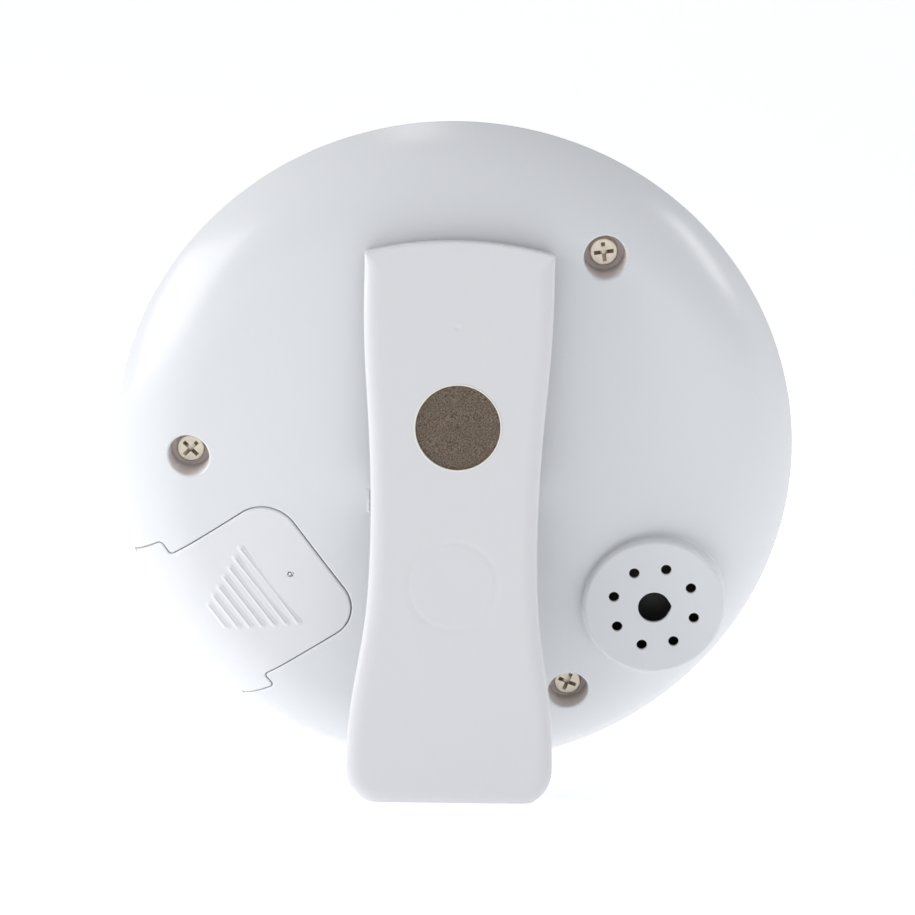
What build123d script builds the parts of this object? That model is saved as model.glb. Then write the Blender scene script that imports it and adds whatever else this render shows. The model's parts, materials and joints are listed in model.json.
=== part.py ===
from build123d import *
import os
from math import asin, atan2, cos, degrees, radians, sin

# A round kitchen timer with a spring clip on its back. The clip's lower end is also its foot.
# Everything is drawn in the case's own frame first: X to the right as seen from behind,
# Y up along the dial, Z out through the back. The parting plane of the two covers is Z = 0.
# The clip's parts are drawn in a frame of their own at its pivot: X across, Y up, Z outward.
# At the end the whole timer is leant back onto its foot, with +Z up and its back to -Y.

# ---------------------------------------------------------------- driving dimensions, mm
CASE_R = 40.0            # widest radius, at the parting plane
CROWN_R = 162.0          # the back is a shallow sphere ...
CROWN_H = 9.3            # ... this high above the parting plane
CROWN_EDGE_R = 31.0      # where the sphere runs into the shoulder
SHOULDER_R = 13.5
WALL = 1.6
FRONT_DEPTH = 7.5        # parting plane to the flat of the front
FRONT_FLAT_R = 34.0
FRONT_WALL = 1.8
FRONT_EDGE_SLOPE = 24.0  # the front's edge leaves the parting plane at this angle to the axis
LAP_R = 37.9             # outside of the rear cover's lap ring
LAP_T = 1.0
LAP_DEPTH = 1.5
FIT = 0.06               # clearance of parts that sit in each other
GAP = 0.2                # visible gap round a loose part

SCREW_ANGLES = (57, 177, 297)
SCREW_TURNS = {57: 8, 177: 45, 297: -22}   # how far each cross was left turned
SCREW_PCD_R = 30.8
SCREW_RECESS_R = 2.4
SCREW_HEAD_R = 1.65
SCREW_SEAT_Z = 2.2

SOUNDER_AT = (23.6, -15.5)
SOUNDER_R = 8.42
SOUNDER_TOP = 9.15
SOUNDER_HOLES = 8
SOUNDER_HOLE_R = 0.6
SOUNDER_HOLES_R = 4.89
SOUNDER_CENTRE_R = 1.85
PIEZO_R = 7.5
PIEZO_Z = 5.6            # the brass plate's inner face

DOOR_ANGLE = 216.0       # the way the battery door slides
DOOR_OFFSET = -1.15      # its centre line beside the case's
DOOR_HALF = 9.25
DOOR_INNER = 18.5        # inner edge, from the case's centre
DOOR_EARS_AT = 33.6
DOOR_EAR_HALF = 11.15
DOOR_CORNER_R = 4.3
DOOR_T = 1.5
DOOR_RIBS = 7
RIB_FIRST, RIB_PITCH = 25.6, 1.3
RIB_LONGEST, RIB_SHORTEST = 12.0, 4.0
CELL_R, CELL_H = 5.8, 3.05
CELL_AT = 25.2           # along the door's centre line

CLIP_TILT = 11.4         # the clip's face against the case's
PIVOT_Y, PIVOT_Z = -1.4, 12.4
LEAF_FACE = 5.0          # the leaf's outer face above the pivot
LEAF_T = 1.8
LEAF_WALL = 1.4
LEAF_TOP, LEAF_CORNER = 29.8, 28.4
LEAF_FOOT = -34.1
LEAF_FOOT_HALF = 11.75
# half the leaf's width at heights from the pivot, down to where its foot is widest
LEAF_SIDE = ((10.6, LEAF_CORNER), (10.53, 19.0), (9.85, 9.0), (9.44, -3.5), (10.05, -14.5), (11.5, -24.5))
FOOT_CORNER = 4.1
PIN_R = 1.1
PIN_REACH = 9.65         # half its length
LUG_IN, LUG_OUT = 5.3, 7.4
MAGNET_R, MAGNET_T = 4.9, 2.0
MAGNET_AT = 9.0          # above the pivot; the spring's seat is as far below it
MAGNET_FACE = LEAF_FACE - 0.3
SPRING_R, SPRING_WIRE = 3.7, 0.35
SPRING_TURNS = 5

BOARD_Z, BOARD_T, BOARD_R = -0.8, 1.2, 34.0    # the board's front face, thickness, radius
LCD_AT, LCD_W, LCD_H, LCD_T = 9.0, 46.0, 24.0, 2.2
VIEW_W, VIEW_H = 40.0, 17.0
WINDOW_W, WINDOW_H, WINDOW_T = 45.0, 22.0, 1.2
START_AT, START_W, START_H = (0, -18.5), 17.0, 8.5
MINUTE_AT, SECOND_AT, SIDE_BUTTON_R = (17.5, -11.0), (-17.5, -11.0), 4.8
BUTTON_TRAVEL = 0.8
BUTTON_OUT = 1.1         # how far a button stands out of the front
FLANGE_T = 0.9
DOME_FOOT = 10.0         # the square foot of the rubber dome under a button
BOARD_POSTS = ((26.7, 13.0), (-26.7, 13.0), (-5.0, -28.5))

# ---------------------------------------------------------------- levels worked out from them
FRONT_INNER = FRONT_WALL - FRONT_DEPTH
BOARD_BACK = BOARD_Z + BOARD_T
KEY_TOP = FRONT_INNER + 0.05 + FLANGE_T + 0.05
DOME_BASE = BOARD_Z - 1.2
PILL_R, PILL_T = 1.6, 0.4
PILL_END = BOARD_Z - BUTTON_TRAVEL - 0.05
TRAY_LOW, TRAY_HIGH = 0.6, 1.4         # the floor under the battery door
CELL_Z = TRAY_HIGH + 0.25
TONGUE_LOW, TONGUE_HIGH = 2.0, 2.8     # the door's tongues
TONGUE_OUT = 1.0
TONGUE_FROM, TONGUE_TO = 23.0, 33.0
LATCH_AT, LATCH_W = 5.4, 2.0           # the two catches at the door's inner end
LATCH_LOW, LATCH_HIGH = 5.1, 5.9       # they pass over the cell as the door slides off
SPRING_FOOT = -4.1                     # where the clip's spring stands, below the pivot

DOOR_FRAME = Rot(Z=DOOR_ANGLE) * Pos(0, DOOR_OFFSET, 0)      # X along the slide, Y across
LEAF_FRAME = Pos(0, PIVOT_Y, PIVOT_Z) * Rot(X=-CLIP_TILT)    # X across, Y up the leaf, Z out

FOOT_POINT = (LEAF_FRAME * Pos(0, LEAF_FOOT, LEAF_FACE)).position
LEAN = degrees(atan2(CASE_R + FOOT_POINT.Y, FOOT_POINT.Z))   # puts rim and foot on one level
FROM_THE_EDGE = (Align.MIN, Align.CENTER, Align.MIN)


# ---------------------------------------------------------------- helpers
def slab(sketch, low, high):
    return Pos(0, 0, low) * extrude(sketch, high - low)


def disc(radius, low, high, at=(0, 0)):
    return slab(Pos(at[0], at[1]) * Circle(radius), low, high)


def polar(radius, angle):
    return radius * cos(radians(angle)), radius * sin(radians(angle))


def end_edges(solid, end):
    """The edges round the face that a solid ends in, low (0) or high (-1) along Z."""
    return solid.faces().sort_by(Axis.Z)[end].edges()


def dome_profile(inset=0.0):
    edge_angle = degrees(asin(CROWN_EDGE_R / CROWN_R))
    crown_z = CROWN_H - CROWN_R
    reach = CROWN_R - SHOULDER_R
    centre = (reach * sin(radians(edge_angle)), crown_z + reach * cos(radians(edge_angle)))
    shoulder = SHOULDER_R - inset
    low_angle = degrees(asin(-centre[1] / shoulder))
    rim = (centre[0] + shoulder * cos(radians(low_angle)), 0)
    crown = CenterArc((0, crown_z), CROWN_R - inset, 90 - edge_angle, edge_angle)
    bend = CenterArc(centre, shoulder, low_angle, 90 - edge_angle - low_angle)
    sides = Polyline((0, CROWN_H - inset), (0, 0), rim)
    return make_face(crown + bend + sides)


def dome(inset=0.0):
    """All that lies under the back's outer surface, moved in by inset."""
    return revolve(Plane.XZ * dome_profile(inset), Axis.Z)


def front_solid(inset=0.0):
    """All that lies behind the front's outer surface, moved in by inset."""
    rim, flat, depth = (CASE_R - inset, 0), FRONT_FLAT_R - inset * 0.6, FRONT_DEPTH - inset
    start = Vector(-sin(radians(FRONT_EDGE_SLOPE)), -cos(radians(FRONT_EDGE_SLOPE)))
    edge = TangentArc(rim, (flat, -depth), tangent=start)
    profile = make_face(edge + Polyline((flat, -depth), (0, -depth), (0, 0), rim))
    corner = profile.vertices().sort_by_distance((flat, -depth, 0))[0]
    return revolve(Plane.XZ * fillet(corner, 2.0 - inset * 0.5), Axis.Z)


def door_outline(grow=0.0, reach=CASE_R + 6):
    """The battery door from above, in the door's frame, grown by grow all round."""
    length = reach - DOOR_INNER + grow
    tongue = Pos(DOOR_INNER - grow + length / 2, 0) * Rectangle(length, 2 * (DOOR_HALF + grow))
    tongue = fillet(tongue.vertices().group_by(Axis.X)[0], DOOR_CORNER_R + grow)
    ear_length = reach - DOOR_EARS_AT + grow
    ears = Pos(reach - ear_length / 2, 0) * Rectangle(ear_length, 2 * (DOOR_EAR_HALF + grow))
    return tongue + ears


def coil(radius, wire, low, high, turns):
    """A compression spring between two heights."""
    rise = high - low - 2 * wire
    path = Pos(0, 0, low + wire) * Helix(rise / turns, rise, radius)
    section = Plane(path @ 0, z_dir=path % 0) * Circle(wire)
    return sweep(section, path, is_frenet=True)


# ---------------------------------------------------------------- rear cover
def screw_recess(angle):
    """The hole for one case screw, with its seat and the way through for its shank."""
    at = polar(SCREW_PCD_R, angle)
    return disc(SCREW_RECESS_R, SCREW_SEAT_Z, CROWN_H, at) + disc(1.15, -1, CROWN_H, at)


def sounder_boss():
    boss = disc(SOUNDER_R, 3.2, SOUNDER_TOP, SOUNDER_AT)
    return fillet(end_edges(boss, -1), 0.8)


def sounder_space():
    """The sound chamber, the seat for the piezo plate and the holes out of it."""
    above = SOUNDER_TOP + 1
    space = disc(PIEZO_R - 0.7, PIEZO_Z, SOUNDER_TOP - 1.2, SOUNDER_AT)
    space += disc(PIEZO_R + FIT, 1.0, PIEZO_Z + 0.2, SOUNDER_AT)
    space += disc(SOUNDER_CENTRE_R, PIEZO_Z, above, SOUNDER_AT)
    for i in range(SOUNDER_HOLES):
        dx, dy = polar(SOUNDER_HOLES_R, 120 + 360 / SOUNDER_HOLES * i)
        space += disc(SOUNDER_HOLE_R, PIEZO_Z, above, (SOUNDER_AT[0] + dx, SOUNDER_AT[1] + dy))
    return space


def clip_lugs():
    """Two ears on the back that hold the clip's pin, in the clip's frame."""
    side = Circle(2.5) + Pos(0, -2.6) * Rectangle(5.0, 5.2)
    blank = extrude(Plane.YZ * side, LUG_OUT, both=True)
    bore = Rot(Y=90) * Cylinder(PIN_R + 0.02, 40)
    return blank - Box(2 * LUG_IN, 30, 30) - bore


def spring_seat():
    """The cup on the back that holds the foot of the clip's spring, in the clip's frame."""
    cup = disc(SPRING_R + 1.2, -9.0, SPRING_FOOT + 0.7, (0, -MAGNET_AT))
    return cup - disc(SPRING_R + 0.55, SPRING_FOOT, 0, (0, -MAGNET_AT))


def rail_grooves():
    """What the door's tongues and its two catches slide in, in the door's frame."""
    low, high = TONGUE_LOW - 0.12, TONGUE_HIGH - TONGUE_LOW + 0.24
    width = 2 * (DOOR_HALF + TONGUE_OUT + 0.2)
    grooves = Pos(TONGUE_FROM - 0.3, 0, low) * Box(40, width, high, align=FROM_THE_EDGE)
    for side in (-1, 1):
        slot = Box(5, LATCH_W + 0.4, LATCH_HIGH - LATCH_LOW + 0.24, align=FROM_THE_EDGE)
        grooves += Pos(DOOR_INNER - 1.4, side * LATCH_AT, LATCH_LOW - 0.12) * slot
    return grooves


def cell_ring():
    """The wall that keeps the cell in place, open for its contact and for a fingertip."""
    wall = disc(CELL_R + 1.1, TRAY_LOW, 3.4, (CELL_AT, 0))
    wall -= disc(CELL_R + 0.25, 0, 9, (CELL_AT, 0))
    return wall - Pos(CELL_AT - CELL_R, 0, TRAY_HIGH + 5) * Box(4, 6.4, 10)


def contact_slots():
    """Where the tails of the two battery contacts go down to the board, in the door's frame."""
    plus = Pos(CELL_AT - CELL_R - 0.35, 0, 1) * Box(0.5, 3.4, 3)
    minus = Pos(CELL_AT + 3.1, 0, 1) * Box(0.5, 3.4, 3)
    return plus + minus


def rear_cover():
    lap = Pos(LAP_R - LAP_T / 2, 0) * Rectangle(LAP_T, 2 * LAP_DEPTH)
    cover = revolve(Plane.XZ * (dome_profile() - dome_profile(WALL) + lap), Axis.Z)
    within = disc(SOUNDER_R, 2.2, 5.0, SOUNDER_AT)
    for angle in SCREW_ANGLES:
        within += disc(3.5, 0.6, 8.0, polar(SCREW_PCD_R, angle))
    within += DOOR_FRAME * slab(door_outline(2.2, 38), TRAY_LOW, 8.0)
    cover += dome() & within
    opening = DOOR_FRAME * slab(door_outline(GAP), -LAP_DEPTH - 1, CROWN_H + 1)
    cover -= opening - dome(DOOR_T + GAP)
    cover -= DOOR_FRAME * (slab(door_outline(GAP), TRAY_HIGH, CROWN_H) + rail_grooves())
    cover += DOOR_FRAME * cell_ring()
    cover -= DOOR_FRAME * contact_slots()
    cover += sounder_boss()
    cover -= sounder_space()
    cover += LEAF_FRAME * (clip_lugs() + spring_seat()) - dome(WALL / 2)
    for angle in SCREW_ANGLES:
        cover -= screw_recess(angle)
    return cover


# ---------------------------------------------------------------- battery door and cell
def battery_door():
    """The sliding door: a piece of the back's own skin with webs, tongues and catches below."""
    skin = (dome() - dome(DOOR_T)) & (DOOR_FRAME * slab(door_outline(), 0.15, CROWN_H + 1))
    length, high = TONGUE_TO - TONGUE_FROM, TONGUE_HIGH - TONGUE_LOW
    under = Part()
    for side in (-1, 1):
        post = Box(0.9, LATCH_W, 6.0, align=FROM_THE_EDGE)
        catch = Box(2.1, LATCH_W, LATCH_HIGH - LATCH_LOW, align=FROM_THE_EDGE)
        under += Pos(DOOR_INNER + 0.3, side * LATCH_AT, LATCH_LOW) * post
        under += Pos(DOOR_INNER - 1.0, side * LATCH_AT, LATCH_LOW) * catch
        web = Box(length, 0.9, 6.0, align=FROM_THE_EDGE)
        tongue = Box(length, TONGUE_OUT + 0.9, high, align=FROM_THE_EDGE)
        under += Pos(TONGUE_FROM, side * (DOOR_HALF - 0.45), TONGUE_LOW) * web
        middle = side * (DOOR_HALF + (TONGUE_OUT - 0.9) / 2)
        under += Pos(TONGUE_FROM, middle, TONGUE_LOW) * tongue
    grip = Part()
    for i in range(DOOR_RIBS):
        run = RIB_LONGEST + (RIB_SHORTEST - RIB_LONGEST) * i / (DOOR_RIBS - 1)
        rib = slab(SlotOverall(run, 0.7, rotation=90), 2.0, CROWN_H + 1)
        grip += Pos(RIB_FIRST + RIB_PITCH * i, -0.1, 0) * rib
    door = skin + (dome(DOOR_T / 2) & (DOOR_FRAME * under))
    return door + ((dome(-0.3) - dome(DOOR_T / 2)) & (DOOR_FRAME * grip))


def coin_cell():
    """A button cell, its can up and the smaller cap of its other pole below."""
    can = disc(CELL_R, CELL_Z + 0.35, CELL_Z + CELL_H)
    can = fillet(end_edges(can, -1), 0.4)
    return DOOR_FRAME * Pos(CELL_AT, 0, 0) * (can + disc(CELL_R - 0.9, CELL_Z, CELL_Z + 1.0))


def contact_positive():
    """A strip that stands beside the cell and presses on its can."""
    strip = Pos(0, 0, 2.6) * Box(0.2, 2.6, 2.4)
    tail = Pos(0, 0, 0.9) * Box(0.2, 2.6, 1.0)
    return DOOR_FRAME * Pos(CELL_AT - CELL_R - 0.35, 0, 0) * (strip + tail)


def contact_negative():
    """A strip under the cell, with a tail through the floor."""
    strip = Pos(0, 0, TRAY_HIGH + 0.1) * Box(6.4, 2.6, 0.2)
    tail = Pos(3.1, 0, 0.9) * Box(0.2, 2.6, 1.0)
    return DOOR_FRAME * Pos(CELL_AT, 0, 0) * (strip + tail)


# ---------------------------------------------------------------- front cover and its buttons
KEYS_AT = {"start": START_AT, "minute": MINUTE_AT, "second": SECOND_AT}
KEY_SHAPES = {
    "start": Pos(START_AT) * SlotOverall(START_W, START_H),
    "minute": Pos(MINUTE_AT) * Circle(SIDE_BUTTON_R),
    "second": Pos(SECOND_AT) * Circle(SIDE_BUTTON_R),
}


def front_cover():
    cover = front_solid() - front_solid(FRONT_WALL)
    cover -= disc(LAP_R + 0.1, -LAP_DEPTH - 0.15, 1)
    for angle in SCREW_ANGLES:
        cover += disc(2.9, 0.6 - FRONT_DEPTH, 0.5, polar(SCREW_PCD_R, angle))
        cover -= disc(1.02, 2.2 - FRONT_DEPTH, 2, polar(SCREW_PCD_R, angle))
    for at in BOARD_POSTS:
        cover += disc(2.1, 0.6 - FRONT_DEPTH, BOARD_Z, at)
        cover -= disc(0.87, 2.2 - FRONT_DEPTH, 2, at)
    frame = RectangleRounded(LCD_W + 2.4, LCD_H + 2.4, 1.0) - Rectangle(LCD_W + 0.3, LCD_H + 0.3)
    recess = RectangleRounded(WINDOW_W + 0.2, WINDOW_H + 0.2, 2.6)
    view = RectangleRounded(VIEW_W, VIEW_H, 0.8)
    cover += Pos(0, LCD_AT, 0) * slab(frame, 0.6 - FRONT_DEPTH, FRONT_INNER + 2.4)
    cover -= Pos(0, LCD_AT, 0) * slab(recess, -FRONT_DEPTH - 1, WINDOW_T - FRONT_DEPTH)
    cover -= Pos(0, LCD_AT, 0) * slab(view, -FRONT_DEPTH - 1, 0)
    for shape in KEY_SHAPES.values():
        cover -= slab(offset(shape, 0.15), -FRONT_DEPTH - 1, 0)
    return cover


def button(name):
    """A push button with the flange that keeps it in the cover."""
    shape = KEY_SHAPES[name]
    low = FRONT_INNER + 0.05
    cap = slab(shape, -FRONT_DEPTH - BUTTON_OUT, low + 0.1)
    return fillet(end_edges(cap, 0), 0.6) + slab(offset(shape, 0.7), low, low + FLANGE_T)


def key_dome(name):
    """The rubber dome on the board under a button: a foot, a collapsing cone and a solid post."""
    x, y = KEYS_AT[name]
    foot = slab(Pos(x, y) * RectangleRounded(DOME_FOOT, DOME_FOOT, 2), DOME_BASE, BOARD_Z)
    foot -= disc(3.4, DOME_BASE - 1, 2, (x, y))
    cone = Pos(x, y, DOME_BASE - 0.45) * Cone(3.9, 2.4, 1.5, rotation=(180, 0, 0))
    cone -= Pos(x, y, DOME_BASE - 0.1) * Cone(3.5, 2.0, 1.4, rotation=(180, 0, 0))
    cone -= disc(3.4, DOME_BASE, 2, (x, y))
    return foot + cone + disc(2.2, KEY_TOP, PILL_END - PILL_T, (x, y))


def key_pill(name):
    """The conductive pill at the end of a dome's post, which bridges the board's pads."""
    return disc(PILL_R, PILL_END - PILL_T, PILL_END, KEYS_AT[name])


def display_window():
    window = slab(RectangleRounded(WINDOW_W, WINDOW_H, 2.5), -FRONT_DEPTH, WINDOW_T - FRONT_DEPTH)
    return Pos(0, LCD_AT, 0) * window


def lcd_panel():
    """Two plates of glass, the back one cut short where the contacts are."""
    middle = FRONT_INNER + LCD_T / 2
    front = slab(Rectangle(LCD_W, LCD_H), FRONT_INNER, middle)
    back = slab(Pos(0, 1.6) * Rectangle(LCD_W, LCD_H - 3.2), middle, FRONT_INNER + LCD_T)
    return Pos(0, LCD_AT, 0) * (front + back)


def zebra_strip():
    strip = slab(Rectangle(40, 1.9), FRONT_INNER + LCD_T / 2, BOARD_Z)
    return Pos(0, LCD_AT - LCD_H / 2 + 1.5, 0) * strip


# ---------------------------------------------------------------- board and what is on it
def circuit_board():
    shape = Circle(BOARD_R)
    for angle in SCREW_ANGLES:
        shape -= Pos(polar(SCREW_PCD_R, angle)) * Circle(3.6)
    for at in BOARD_POSTS:
        shape -= Pos(at) * Circle(0.95)
    return slab(shape, BOARD_Z, BOARD_BACK)


def chip_cover():
    """The drop of resin over the timer's chip."""
    drop = Pos(0, 8, BOARD_BACK - 6.5) * Sphere(8.0)
    return drop & disc(5.0, BOARD_BACK, 9, (0, 8))


def crystal():
    return Pos(12.0, 2.0, BOARD_BACK + 1.0) * Rot(X=90) * Cylinder(1.0, 6.0)


def board_components():
    """Small resistors and capacitors soldered to the back of the board."""
    places = ((-9, 4), (-9, 7), (-9, 10), (9, 9), (9, 12), (16, 4), (16, 7), (-14, 6))
    return [Pos(x, y, BOARD_BACK + 0.4) * Box(2.0, 1.25, 0.8) for x, y in places]


def board_screws():
    screws = []
    for x, y in BOARD_POSTS:
        head = disc(1.5, BOARD_BACK, BOARD_BACK + 0.9, (x, y))
        slot = Pos(x, y, BOARD_BACK + 0.9) * Box(2.2, 0.4, 0.9)
        screws.append(head + disc(0.85, BOARD_BACK - 4.2, BOARD_BACK, (x, y)) - slot)
    return screws


def piezo_plate():
    return disc(PIEZO_R, PIEZO_Z, PIEZO_Z + 0.2, SOUNDER_AT)


def piezo_ceramic():
    return disc(5.0, PIEZO_Z - 0.2, PIEZO_Z, SOUNDER_AT)


def sounder_springs():
    """The two contact springs that stand on the board and press on the sounder."""
    ends = ((-6.0, PIEZO_Z), (1.5, PIEZO_Z - 0.2))
    return [Pos(SOUNDER_AT[0] + dx, SOUNDER_AT[1], 0) * coil(0.9, 0.15, BOARD_BACK, top, 6)
            for dx, top in ends]


# ---------------------------------------------------------------- case screws
def cross_recess(size, depth):
    """The tapered socket of a cross-head screw, its mouth at Z = 0."""
    socket = Part()
    tip = size * 0.35
    for turn in (0, 90):
        wing = Polyline((-size, 0.1), (size, 0.1), (tip, -depth), (-tip, -depth), close=True)
        socket += Rot(Z=turn) * extrude(Plane.XZ * make_face(wing), size * 0.19, both=True)
    return socket


def case_screws():
    screws = []
    for angle in SCREW_ANGLES:
        top = SCREW_SEAT_Z + 1.4
        head = disc(SCREW_HEAD_R, SCREW_SEAT_Z, top)
        socket = Pos(0, 0, top) * Rot(Z=SCREW_TURNS[angle]) * cross_recess(1.2, 0.9)
        screw = fillet(end_edges(head, -1), 0.22) + disc(1.0, -4.8, SCREW_SEAT_Z) - socket
        screws.append(Pos(polar(SCREW_PCD_R, angle)) * screw)
    return screws


# ---------------------------------------------------------------- clip, in its own frame
def leaf_outline(inset=0.0):
    """The leaf from behind: a waisted strip with an arched top and a wide rounded foot."""
    foot, low = LEAF_FOOT_HALF - inset, LEAF_FOOT - 0.4 + inset
    knots = [(half - inset, min(height, LEAF_CORNER - inset)) for half, height in LEAF_SIDE]
    side = Spline(*knots, (foot, low + 4.5))
    corner = TangentArc(side @ 1, (foot - FOOT_CORNER, low), tangent=side % 1)
    half = side + corner
    arch = ThreePointArc(side @ 0, (0, LEAF_TOP - inset), (-knots[0][0], knots[0][1]))
    bottom = Line((foot - FOOT_CORNER, low), (FOOT_CORNER - foot, low))
    return make_face(half + mirror(half, about=Plane.YZ) + arch + bottom)


def leaf_side():
    """The leaf from its edge: where its walls end, with ears round the pin and a deep jaw."""
    jaw = ((31, 6), (31, -0.8), (28.4, -0.8), (27.6, 1.6))
    ear_root = ((2.4, 1.6), (2.4, 0), (-2.4, 0), (-2.4, 1.4))
    foot = ((-30.5, 1.4), (-32, 0.6), (-35, 0.6), (-35, 6))
    walls = Polyline(*jaw, *ear_root, *foot, close=True)
    ears = Circle(2.7) + Pos(0, 2) * Rectangle(5.4, 4)
    return extrude(Plane.YZ * (make_face(walls) + ears), LEAF_FOOT_HALF + 2, both=True)


def clip_leaf():
    under, above = LEAF_FACE - LEAF_T, LEAF_FACE + 1
    blank = slab(leaf_outline(), -3, LEAF_FACE)
    rim = end_edges(blank, -1).sort_by(Axis.Y)
    blank = fillet(rim[:-1], 0.9)
    leaf = (blank & leaf_side()) - slab(leaf_outline(LEAF_WALL), -4, under)
    leaf += disc(MAGNET_R + 1.3, 1.6, under + 0.1, (0, MAGNET_AT))
    leaf += disc(5.25, 2.4, under + 0.1, (0, -MAGNET_AT))
    leaf -= disc(SPRING_R + 0.65, 0, under, (0, -MAGNET_AT))
    leaf -= disc(MAGNET_R + 0.05, MAGNET_FACE - MAGNET_T, above, (0, MAGNET_AT))
    leaf -= Rot(Y=90) * Cylinder(PIN_R + 0.05, 40)
    below = Box(90, 20, 90, align=(Align.CENTER, Align.MAX, Align.CENTER))
    floor = Pos(0, -CASE_R, 0) * Rot(X=-LEAN) * below
    return leaf - LEAF_FRAME.inverse() * (dome(-0.3) + floor)


def clip_magnet():
    return disc(MAGNET_R, MAGNET_FACE - MAGNET_T, MAGNET_FACE, (0, MAGNET_AT))


def clip_pin():
    """The pin from ear to ear, with a small head outside the left one."""
    shank = Rot(Y=90) * Cylinder(PIN_R, 2 * PIN_REACH)
    return shank + Pos(-PIN_REACH - 0.1, 0, 0) * Rot(Y=90) * Cylinder(1.4, 0.3)


def clip_spring():
    spring = coil(SPRING_R, SPRING_WIRE, SPRING_FOOT, LEAF_FACE - LEAF_T, SPRING_TURNS)
    return Pos(0, -MAGNET_AT, 0) * spring


# ---------------------------------------------------------------- assembly and export
def assembly():
    """Every sub-part in the case's frame."""
    parts = {
        "rear_cover": rear_cover(),
        "front_cover": front_cover(),
        "display_window": display_window(),
        "lcd_panel": lcd_panel(),
        "zebra_strip": zebra_strip(),
        "circuit_board": circuit_board(),
        "chip_cover": chip_cover(),
        "crystal": crystal(),
        "board_components": board_components(),
        "board_screws": board_screws(),
        "piezo_plate": piezo_plate(),
        "piezo_ceramic": piezo_ceramic(),
        "sounder_springs": sounder_springs(),
        "coin_cell": coin_cell(),
        "contact_positive": contact_positive(),
        "contact_negative": contact_negative(),
        "battery_door": battery_door(),
        "case_screws": case_screws(),
    }
    for name in KEYS_AT:
        parts[name + "_button"] = button(name)
        parts[name + "_dome"] = key_dome(name)
        parts[name + "_pill"] = key_pill(name)
    parts["clip_leaf"] = LEAF_FRAME * clip_leaf()
    parts["clip_magnet"] = LEAF_FRAME * clip_magnet()
    parts["clip_pin"] = LEAF_FRAME * clip_pin()
    parts["clip_spring"] = LEAF_FRAME * clip_spring()
    return parts


OUTSIDE = ("rear_cover", "front_cover", "start_button", "clip_leaf")     # these reach furthest out


def standing(parts):
    """The way from the case's frame to the timer leant back on its foot, centred over Z = 0."""
    upright = Rot(X=90 + LEAN)
    outer = Compound(children=[Compound(parts[name].wrapped) for name in OUTSIDE])
    box = (upright * outer).bounding_box()
    return Pos(0, -(box.min.Y + box.max.Y) / 2, -box.min.Z) * upright


if __name__ == "__main__":
    os.makedirs("parts", exist_ok=True)
    made = assembly()
    place = standing(made)
    for name, shape in made.items():
        solids = shape if isinstance(shape, list) else shape.solids()
        export_step(Compound(children=[place * solid for solid in solids]), f"parts/{name}.step")
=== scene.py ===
import json
from math import acos, asin, atan2, ceil, copysign, cos, hypot, pi, radians, sin, sqrt, tan

import bpy
import numpy as np
from mathutils import Matrix, Quaternion, Vector
from mathutils.geometry import delaunay_2d_cdt


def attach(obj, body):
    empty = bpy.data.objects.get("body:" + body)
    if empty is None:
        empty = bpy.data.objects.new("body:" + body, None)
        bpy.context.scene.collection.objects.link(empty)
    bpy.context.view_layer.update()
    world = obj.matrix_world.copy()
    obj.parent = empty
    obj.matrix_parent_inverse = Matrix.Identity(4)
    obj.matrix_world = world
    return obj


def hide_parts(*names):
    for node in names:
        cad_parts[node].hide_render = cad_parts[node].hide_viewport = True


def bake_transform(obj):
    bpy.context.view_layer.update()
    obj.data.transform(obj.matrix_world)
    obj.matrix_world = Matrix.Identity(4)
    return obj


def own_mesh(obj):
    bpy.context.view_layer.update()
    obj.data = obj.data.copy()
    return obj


# The looks of a kitchen timer with a sprung clip on its back. All shapes are drawn in millimetres
# in the case's own frame (X right as seen from behind, Y up the dial, Z out of the back) or in the
# clip's (X across, Y up, Z outward, at its pivot), and placed by two matrices.

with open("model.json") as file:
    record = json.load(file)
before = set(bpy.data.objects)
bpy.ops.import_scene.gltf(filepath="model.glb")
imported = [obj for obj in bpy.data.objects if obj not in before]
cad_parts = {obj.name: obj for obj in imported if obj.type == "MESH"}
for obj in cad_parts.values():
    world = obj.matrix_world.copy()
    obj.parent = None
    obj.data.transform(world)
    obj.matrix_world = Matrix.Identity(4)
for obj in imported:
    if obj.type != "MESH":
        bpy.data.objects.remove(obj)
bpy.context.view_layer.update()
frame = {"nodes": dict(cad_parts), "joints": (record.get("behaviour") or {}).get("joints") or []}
joints = {j["name"]: j for j in frame["joints"]}

MM = 0.001
PIVOT_Y, PIVOT_Z, CLIP_TILT = -1.4, 12.4, 11.4
PIN_PLAY, CLIP_TWIST = 0.1, 0.54      # the clip sits slightly askew on its pin
OUT = Vector(joints["start_press"]["axis"])
UP = OUT.cross(Vector((1, 0, 0)))
PIVOT = Vector(joints["clip_pivot"]["pos_m"])
ORIGIN = PIVOT - (UP * PIVOT_Y + OUT * PIVOT_Z) * MM
AXES = Matrix((Vector((1, 0, 0)), UP, OUT)).transposed().to_4x4()
CASE = Matrix.Translation(ORIGIN) @ AXES @ Matrix.Scale(MM, 4)
LEAF = CASE @ Matrix.Translation((0, PIVOT_Y, PIVOT_Z)) @ Matrix.Rotation(radians(-CLIP_TILT), 4, "X")
ASKEW = LEAF @ Matrix.Translation((PIN_PLAY, 0, 0)) @ Matrix.Rotation(radians(-CLIP_TWIST), 4, "Z")

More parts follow.
